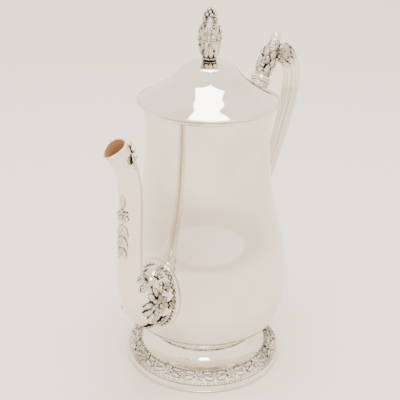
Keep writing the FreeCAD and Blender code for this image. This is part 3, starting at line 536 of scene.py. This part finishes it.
crown = skin([oval_ring(section, -0.9, 64) for section in whole[:split + 1]])
bmesh.ops.holes_fill(crown, edges=crown.edges)
leafy = [i for i in range(4, split, 5) if whole[i][0][0] < 104.0]
for i in leafy:
    near, far, radius = whole[i]
    middle = (near + far) / 2
    along = np.array(whole[min(i + 2, split)][0]) - np.array(whole[i - 2][0])
    along = Vector((along[0], 0, along[1])).normalized()
    for k in range(7):
        angle = 2 * math.pi * (k + 0.5 * (i % 2)) / 7
        root = oval_point(whole[i], angle, -1.2)
        up = (root - Vector((middle[0], 0, middle[1]))).normalized()
        leaf(crown, root, along + up * 0.16, up, 9.0, 6.6, 1.6)
knob = Vector((101.2, 0, 260.8))
stem = Vector((93.5, 0, 246.0))
for k in range(14):
    angle = 2 * math.pi * k / 7
    out = Vector((math.cos(angle) * 0.8, math.sin(angle), 0.0))
    level = stem + (knob - stem) * (0.12 if k < 7 else 0.45)
    leaf(crown, level + out * (6.0 if k < 7 else 4.4), (knob - stem).normalized() - out * 0.25,
         out, 9.0, 6.0, 1.6)
for share, size in ((0.15, 6.0), (0.35, 5.2), (0.55, 4.5), (0.75, 4.0), (0.9, 3.8)):
    bead(crown, stem + (knob - stem) * share, size, 3)
place = oval_point(whole[10], 0.0, 0.6)
rose(crown, place, (-0.8, 0, 0.6), 5.2, 6, 0.0, 1.4)
for side in (-1, 1):
    rose(crown, oval_point(whole[22], side * math.pi / 2, 0.0), (0, side, 0.1), 5.6, 6, 0.3, 1.4)
piece("handle_cast_crown", crown, cast, "pot", ["handle_crown"])

ball = bmesh.new()
bead(ball, knob, 4.7, 5)
piece("handle_plain_knob", ball, polished, "pot", ["handle_knob"])

band = bmesh.new()
for k in range(9):
    angle = 2 * math.pi * k / 9
    root = oval_point(whole[split], angle, -0.2)
    middle = (whole[split][0] + whole[split][1]) / 2
    up = (root - Vector((middle[0], 0, middle[1]))).normalized()
    leaf(band, root, Vector((0.72, 0, -0.62)), up, 11.5, 6.0, 1.1)
    bead(band, root - Vector((0.6, 0, -0.5)), 1.5)
piece("handle_leaf_collar", band, cast, "pot", ["handle_leaf_band"])


# ---- Sockets and small fittings ----
# Cast sockets hold the handle off the body, with turned rings next to the
# heat-break discs. Hinge leaves, pin, screw and rivets are plain and turned.

socket = round_stations([(46.5, 206.0, 8.6), (56.0, 207.3, 8.3), (65.0, 211.2, 7.9),
                         (72.0, 218.0, 7.7), (77.5, 226.5, 7.8)])
arm = skin([oval_ring(section) for section in socket])
bmesh.ops.holes_fill(arm, edges=arm.edges)
for side in (-1, 1):
    rose(arm, oval_point(socket[20], side * math.pi / 2, 0.0), (0, side, 0), 5.0, 6, 0.3, 1.2)
piece("handle_cast_upper_socket", arm, cast, "pot", ["handle_upper_socket"])

# Off-white heat-break composition, matt and a little yellowed.
composition = bpy.data.materials.new("heat_break_composition")
composition.use_nodes = True
tree = composition.node_tree
place = add(tree, "ShaderNodeTexCoord").outputs["Object"]
cloud = add(tree, "ShaderNodeTexNoise", {"Vector": place, "Scale": 1000 / 5})
shade = add(tree, "ShaderNodeMix", {0: cloud.outputs["Fac"], 6: linear("#E6DDC8"),
                                    7: linear("#CFC2A6")},
            data_type="RGBA")
grit = add(tree, "ShaderNodeBump", {"Height": cloud.outputs["Fac"], "Strength": 0.2,
                                    "Distance": 0.0003})
tree.links.new(shade.outputs[2], tree.nodes["Principled BSDF"].inputs["Base Color"])
tree.links.new(grit.outputs["Normal"], tree.nodes["Principled BSDF"].inputs["Normal"])
tree.nodes["Principled BSDF"].inputs["Roughness"].default_value = 0.5

# Turned nickel silver, greyer than the plate, with fine tool marks.
nickel = metal("turned_nickel_silver", "#C8C2B4", "#A89F8C", 0.22, 0.9, 0.2)

for name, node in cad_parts.items():
    small = name.endswith("rivet") or name in ("hinge_pin", "finial_stud", "finial_washer",
                                               "finial_nut")
    finish = composition if "insulator" in name else nickel if small else polished
    node.data.materials.clear()
    node.data.materials.append(finish)


# ---- Studio ----
# Matt warm paper floor, an even surround as bright as the floor, and two soft
# boxes, one overhead and one at the front. The polish mirrors them as they are.

world = bpy.data.worlds.new("surround")
world.use_nodes = True
bpy.context.scene.world = world
world.node_tree.nodes["Background"].inputs["Color"].default_value = linear("#EADFD0")
world.node_tree.nodes["Background"].inputs["Strength"].default_value = 2.9

paper = bpy.data.materials.new("matt_paper")
paper.use_nodes = True
paper.node_tree.nodes["Principled BSDF"].inputs["Base Color"].default_value = linear("#F0E9DF")
paper.node_tree.nodes["Principled BSDF"].inputs["Roughness"].default_value = 0.9
floor_mesh = bpy.data.meshes.new("floor")
floor_mesh.from_pydata([(-30, -30, 0), (30, -30, 0), (30, 30, 0), (-30, 30, 0)], [],
                       [(0, 1, 2, 3)])
floor_mesh.materials.append(paper)
floor = bpy.data.objects.new("floor", floor_mesh)
bpy.context.scene.collection.objects.link(floor)

# Each soft box: name, width, power, and where it hangs; all face the pot.
for name, width, power, place in (
        ("overhead", 0.7, 14.0, (0.0, 0.0, 1.4)),
        ("front_box", 0.5, 8.0, (-0.95, -0.75, 1.25))):
    lamp = bpy.data.lights.new(name, "AREA")
    lamp.size = width
    lamp.energy = power
    hung = bpy.data.objects.new(name, lamp)
    hung.location = place
    toward_pot = Vector((0, 0, 0.15)) - Vector(place)
    hung.rotation_euler = toward_pot.to_track_quat("-Z", "Y").to_euler()
    bpy.context.scene.collection.objects.link(hung)

# The camera stands at the spout's side of the pot and looks down on it.
yaw, pitch, roll = -0.0085, 0.424, 0.0205
swing = Matrix.Rotation(math.radians(-56.0), 3, "Z")
ahead = swing @ Vector((math.sin(yaw) * math.cos(pitch), math.cos(yaw) * math.cos(pitch),
                        -math.sin(pitch)))
right = ahead.cross(Vector((0, 0, 1))).normalized()
above = right.cross(ahead)
tilted = right * math.cos(roll) + above * math.sin(roll)
above = above * math.cos(roll) - right * math.sin(roll)
lens = bpy.data.cameras.new("camera")
lens.sensor_width = 36.0
lens.lens = 71.35
camera = bpy.data.objects.new("camera", lens)
turn = Matrix((tilted, above, -ahead)).transposed().to_4x4()
camera.matrix_world = Matrix.Translation(swing @ Vector((0, -0.595, 0.4119))) @ turn
bpy.context.scene.collection.objects.link(camera)
bpy.context.scene.camera = camera
